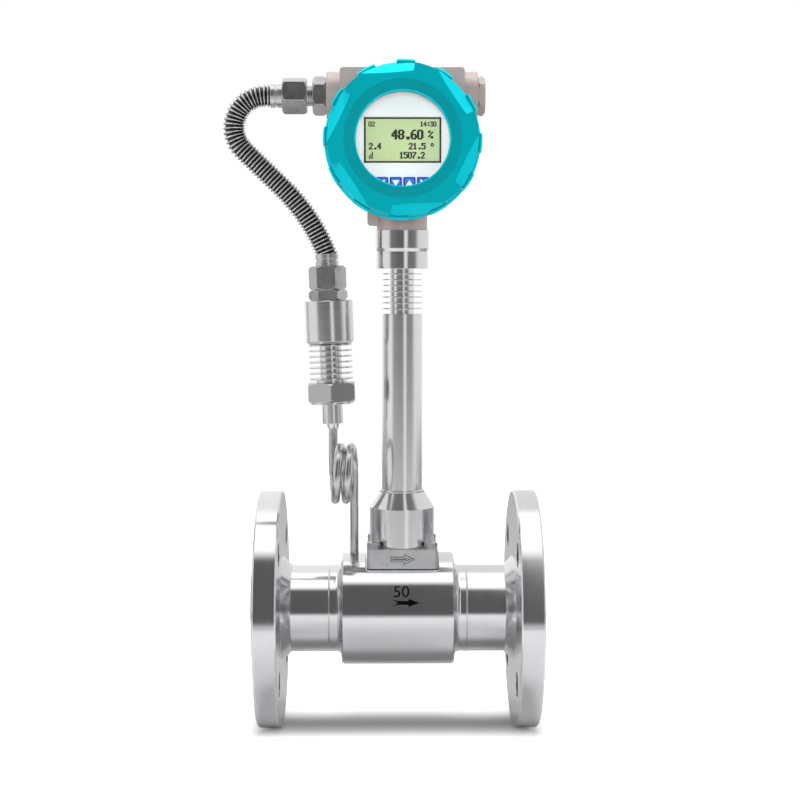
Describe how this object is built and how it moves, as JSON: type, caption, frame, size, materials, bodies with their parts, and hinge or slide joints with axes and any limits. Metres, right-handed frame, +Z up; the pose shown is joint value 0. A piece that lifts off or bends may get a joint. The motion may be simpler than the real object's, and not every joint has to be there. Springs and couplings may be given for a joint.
{
  "type": "vortex flow meter",
  "caption": "Flanged vortex flow meter with a finned stem, a round display head with threaded covers, and a pressure cell on a coiled siphon joined to the head by a metal hose.",
  "frame": {"origin": "centre of the inlet flange's bolt plane, on the pipe axis", "axes": "+X along the flow from inlet to outlet, +Z up the stem to the head, and the display faces -Y"},
  "size_m": [0.2196, 0.165, 0.4581],
  "materials": {
    "turned_steel": "fine turned stainless steel",
    "polished_steel": "bright polished stainless steel",
    "cast_steel": "matt blasted casting",
    "bolt_steel": "plain bolt steel",
    "nut_steel": "dull machined steel",
    "ferrule_steel": "bright pressed steel",
    "hose_steel": "corrugated stainless hose",
    "cell_steel": "bright turned steel",
    "siphon_steel": "drawn tube",
    "graphite_sheet": "matt graphite sheet",
    "lead_jacket": "smooth cable jacket",
    "housing_paint": "semi-gloss paint on an aluminium casting",
    "cover_paint": "gloss paint on an aluminium casting",
    "window_glass": "clear toughened glass",
    "black_ring": "matt black",
    "seal_rubber": "black rubber",
    "plate_white": "satin printed film",
    "lcd_black": "satin black moulding",
    "lcd_green": "backlit display pane",
    "key_blue": "glossy key caps",
    "board_green": "solder mask",
    "brass_fittings": "plain brass"
  },
  "bodies": {
    "meter": {"inlet_flange": "turned_steel", "outlet_flange": "turned_steel", "inlet_pipe": "turned_steel", "outlet_pipe": "turned_steel", "meter_body": "polished_steel", "shedder_bar": "turned_steel", "sensor_probe": "turned_steel", "base_gasket": "graphite_sheet", "sensor_base": "cast_steel", "base_bolts": "bolt_steel", "bonnet": "polished_steel", "stem": "polished_steel", "stem_collar": "polished_steel", "probe_lead": "lead_jacket", "housing": "housing_paint", "lock_screw": "bolt_steel", "display_plate": "plate_white", "plate_screws": "bolt_steel", "lcd_frame": "lcd_black", "lcd_panel": "lcd_green", "display_board": "board_green", "amplifier_board": "board_green", "board_spacers": "brass_fittings", "terminal_block": "lcd_black", "terminal_screws": "brass_fittings", "blanking_plug": "housing_paint", "hose_adapter": "nut_steel", "upper_nut": "nut_steel", "upper_ferrule": "ferrule_steel", "flexible_hose": "hose_steel", "lower_ferrule": "ferrule_steel", "lower_nut": "nut_steel", "casing_cap": "nut_steel", "pressure_casing": "polished_steel", "pressure_cell": "cell_steel", "siphon_nipple": "cell_steel", "siphon_tube": "siphon_steel"},
    "front_carrier": {"front_seal": "seal_rubber"},
    "front_cover": {"front_cover": "cover_paint", "window_glass": "window_glass", "window_ring": "black_ring"},
    "rear_carrier": {"rear_seal": "seal_rubber"},
    "rear_cover": {"rear_cover": "cover_paint"},
    "key_left": {"key_left": "key_blue"},
    "key_down": {"key_down": "key_blue"},
    "key_up": {"key_up": "key_blue"},
    "key_right": {"key_right": "key_blue"}
  },
  "joints": [
    {"name": "front_cover_lift", "type": "slide", "parent": "meter", "child": "front_carrier", "axis": [0, -1, 0], "range_m": [0, 0.0111]},
    {"name": "front_cover_turn", "type": "hinge", "parent": "front_carrier", "child": "front_cover", "pos_m": [0.0995, 0, 0.3227], "axis": [0, -1, 0], "range_deg": [0, 1980]},
    {"name": "rear_cover_lift", "type": "slide", "parent": "meter", "child": "rear_carrier", "axis": [0, 1, 0], "range_m": [0, 0.0111]},
    {"name": "rear_cover_turn", "type": "hinge", "parent": "rear_carrier", "child": "rear_cover", "pos_m": [0.0995, 0, 0.3227], "axis": [0, 1, 0], "range_deg": [0, 1980]},
    {"name": "key_left_press", "type": "slide", "parent": "meter", "child": "key_left", "axis": [0, 1, 0], "range_m": [0, 0.0005], "stiffness_N_per_m": 400},
    {"name": "key_down_press", "type": "slide", "parent": "meter", "child": "key_down", "axis": [0, 1, 0], "range_m": [0, 0.0005], "stiffness_N_per_m": 400},
    {"name": "key_up_press", "type": "slide", "parent": "meter", "child": "key_up", "axis": [0, 1, 0], "range_m": [0, 0.0005], "stiffness_N_per_m": 400},
    {"name": "key_right_press", "type": "slide", "parent": "meter", "child": "key_right", "axis": [0, 1, 0], "range_m": [0, 0.0005], "stiffness_N_per_m": 400}
  ],
  "couplings": [
    {"joint": "front_cover_lift", "follows": "front_cover_turn", "m_per_rad": 0.00031831},
    {"joint": "rear_cover_lift", "follows": "rear_cover_turn", "m_per_rad": 0.00031831}
  ]
}
